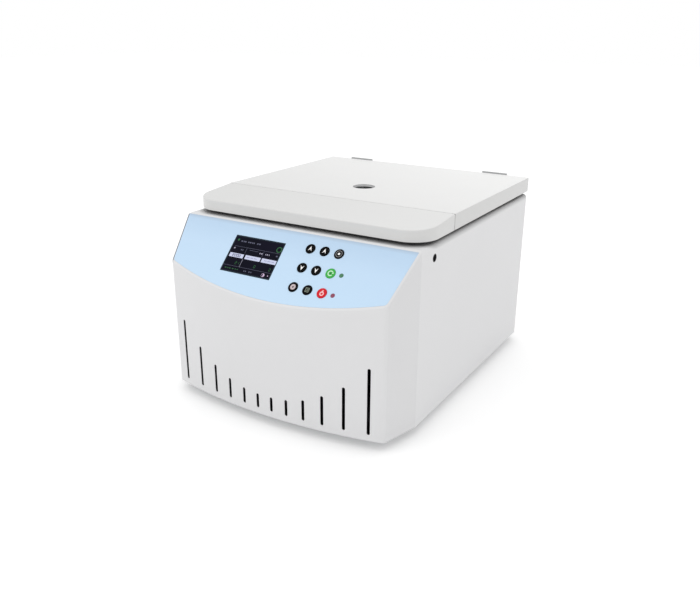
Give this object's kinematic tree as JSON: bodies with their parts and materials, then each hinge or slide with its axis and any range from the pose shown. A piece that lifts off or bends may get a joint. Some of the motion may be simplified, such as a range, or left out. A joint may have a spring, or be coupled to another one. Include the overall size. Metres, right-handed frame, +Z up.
{
  "type": "cytocentrifuge",
  "caption": "Bench cytocentrifuge with a sloped key panel, a flat hinged lid, a steel chamber and a rotor of tilting slide carriers.",
  "frame": {"origin": "on the bench, under the middle of the box that holds the whole instrument", "axes": "+Z up, -Y towards the operator (the panel side), +X to the operator's right"},
  "size_m": [0.43, 0.5414, 0.3242],
  "materials": {
    "cabinet_shell": "satin paint",
    "lid_paint": "satin paint",
    "lid_cap": "satin",
    "liner": "matte",
    "steel_sheet": "brushed",
    "guard_steel": "matte",
    "film": "satin",
    "display": "gloss",
    "board": "satin",
    "key_black": "satin",
    "key_green": "satin",
    "key_red": "satin",
    "led": "gloss",
    "rubber": "matte",
    "silicone": "satin",
    "motor": "satin",
    "shaft": "satin",
    "rotor": "machined",
    "nut": "matte",
    "clip_steel": "satin",
    "funnel": "satin",
    "clear": "gloss",
    "ring": "satin",
    "hinge": "satin",
    "zinc": "satin",
    "black_plastic": "matte",
    "coil": "satin"
  },
  "bodies": {
    "cabinet": {"main_housing": "cabinet_shell", "base_plate": "steel_sheet", "rubber_feet": "rubber", "cabinet_screws": "zinc", "chamber_bowl": "steel_sheet", "chamber_seal": "silicone", "guard_ring": "guard_steel", "motor_bridge": "steel_sheet", "motor_dampers": "rubber", "motor_can": "motor", "control_film": "film", "display_glass": "display", "display_module": "board", "key_board": "board", "status_leds": "led", "hinge_body_leaves": "hinge", "hinge_pins": "shaft", "latch_frame": "steel_sheet", "latch_solenoid": "coil", "lid_switch": "black_plastic", "release_bush": "black_plastic", "fan_frame": "black_plastic", "power_inlet": "black_plastic", "driver_board": "board"},
    "lid": {"lid_rear_cover": "lid_paint", "lid_front_cap": "lid_cap", "lid_liner": "liner", "lid_screws": "zinc", "window_ring": "ring", "lid_window": "clear", "hinge_lid_leaves": "hinge", "lid_hook": "shaft"},
    "rotor": {"rotor_body": "rotor", "rotor_nut": "nut", "drive_shaft": "shaft"},
    "carrier_1": {"slide_clip_1": "clip_steel", "sample_chamber_1": "funnel"},
    "carrier_2": {"slide_clip_2": "clip_steel", "sample_chamber_2": "funnel"},
    "carrier_3": {"slide_clip_3": "clip_steel", "sample_chamber_3": "funnel"},
    "carrier_4": {"slide_clip_4": "clip_steel", "sample_chamber_4": "funnel"},
    "carrier_5": {"slide_clip_5": "clip_steel", "sample_chamber_5": "funnel"},
    "carrier_6": {"slide_clip_6": "clip_steel", "sample_chamber_6": "funnel"},
    "bolt": {"latch_bolt": "shaft"},
    "spindle": {"release_spindle": "shaft"},
    "key_speed_up": {"key_speed_up": "key_black"},
    "key_time_up": {"key_time_up": "key_black"},
    "key_open_lid": {"key_open_lid": "key_black"},
    "key_speed_down": {"key_speed_down": "key_black"},
    "key_time_down": {"key_time_down": "key_black"},
    "key_start": {"key_start": "key_green"},
    "key_menu": {"key_menu": "key_black"},
    "key_program": {"key_program": "key_black"},
    "key_stop": {"key_stop": "key_red"},
    "rocker": {"power_rocker": "black_plastic"},
    "impeller": {"fan_impeller": "black_plastic"}
  },
  "joints": [
    {"name": "lid_swing", "type": "hinge", "parent": "cabinet", "child": "lid", "pos_m": [0, 0.26775, 0.3212], "axis": [-1, 0, 0], "range_deg": [0, 75]},
    {"name": "rotor_spin", "type": "hinge", "parent": "cabinet", "child": "rotor", "pos_m": [0, 0.03475, 0.161], "axis": [0, 0, 1], "continuous": true},
    {"name": "carrier_tilt_1", "type": "hinge", "parent": "rotor", "child": "carrier_1", "pos_m": [0, 0.15675, 0.179], "axis": [-1, 0, 0], "range_deg": [0, 20]},
    {"name": "carrier_tilt_2", "type": "hinge", "parent": "rotor", "child": "carrier_2", "pos_m": [-0.10565, 0.09575, 0.179], "axis": [-0.5, -0.866, 0], "range_deg": [0, 20]},
    {"name": "carrier_tilt_3", "type": "hinge", "parent": "rotor", "child": "carrier_3", "pos_m": [-0.10565, -0.02625, 0.179], "axis": [0.5, -0.866, 0], "range_deg": [0, 20]},
    {"name": "carrier_tilt_4", "type": "hinge", "parent": "rotor", "child": "carrier_4", "pos_m": [0, -0.08725, 0.179], "axis": [1, 0, 0], "range_deg": [0, 20]},
    {"name": "carrier_tilt_5", "type": "hinge", "parent": "rotor", "child": "carrier_5", "pos_m": [0.10565, -0.02625, 0.179], "axis": [0.5, 0.866, 0], "range_deg": [0, 20]},
    {"name": "carrier_tilt_6", "type": "hinge", "parent": "rotor", "child": "carrier_6", "pos_m": [0.10565, 0.09575, 0.179], "axis": [-0.5, 0.866, 0], "range_deg": [0, 20]},
    {"name": "bolt_slide", "type": "slide", "parent": "cabinet", "child": "bolt", "axis": [0, 1, 0], "range_m": [0, 0.009]},
    {"name": "release_turn", "type": "hinge", "parent": "cabinet", "child": "spindle", "pos_m": [0.061, -0.13845, 0.2713], "axis": [-1, 0, 0], "range_deg": [0, 86]},
    {"name": "press_speed_up", "type": "slide", "parent": "cabinet", "child": "key_speed_up", "axis": [0, 0.7071, -0.7071], "range_m": [0, 0.0006], "stiffness_N_per_m": 2000},
    {"name": "press_time_up", "type": "slide", "parent": "cabinet", "child": "key_time_up", "axis": [0, 0.7071, -0.7071], "range_m": [0, 0.0006], "stiffness_N_per_m": 2000},
    {"name": "press_open_lid", "type": "slide", "parent": "cabinet", "child": "key_open_lid", "axis": [0, 0.7071, -0.7071], "range_m": [0, 0.0006], "stiffness_N_per_m": 2000},
    {"name": "press_speed_down", "type": "slide", "parent": "cabinet", "child": "key_speed_down", "axis": [0, 0.7071, -0.7071], "range_m": [0, 0.0006], "stiffness_N_per_m": 2000},
    {"name": "press_time_down", "type": "slide", "parent": "cabinet", "child": "key_time_down", "axis": [0, 0.7071, -0.7071], "range_m": [0, 0.0006], "stiffness_N_per_m": 2000},
    {"name": "press_start", "type": "slide", "parent": "cabinet", "child": "key_start", "axis": [0, 0.7071, -0.7071], "range_m": [0, 0.0006], "stiffness_N_per_m": 2000},
    {"name": "press_menu", "type": "slide", "parent": "cabinet", "child": "key_menu", "axis": [0, 0.7071, -0.7071], "range_m": [0, 0.0006], "stiffness_N_per_m": 2000},
    {"name": "press_program", "type": "slide", "parent": "cabinet", "child": "key_program", "axis": [0, 0.7071, -0.7071], "range_m": [0, 0.0006], "stiffness_N_per_m": 2000},
    {"name": "press_stop", "type": "slide", "parent": "cabinet", "child": "key_stop", "axis": [0, 0.7071, -0.7071], "range_m": [0, 0.0006], "stiffness_N_per_m": 2000},
    {"name": "rocker_tip", "type": "hinge", "parent": "cabinet", "child": "rocker", "pos_m": [0.118, 0.26075, 0.082], "axis": [-1, 0, 0], "range_deg": [0, 12]},
    {"name": "fan_spin", "type": "hinge", "parent": "cabinet", "child": "impeller", "pos_m": [-0.112, 0.24825, 0.087], "axis": [0, 1, 0], "continuous": true}
  ],
  "couplings": [
    {"joint": "carrier_tilt_2", "follows": "carrier_tilt_1", "ratio": 1},
    {"joint": "carrier_tilt_3", "follows": "carrier_tilt_1", "ratio": 1},
    {"joint": "carrier_tilt_4", "follows": "carrier_tilt_1", "ratio": 1},
    {"joint": "carrier_tilt_5", "follows": "carrier_tilt_1", "ratio": 1},
    {"joint": "carrier_tilt_6", "follows": "carrier_tilt_1", "ratio": 1},
    {"joint": "release_turn", "follows": "bolt_slide", "rad_per_m": 166.67}
  ]
}
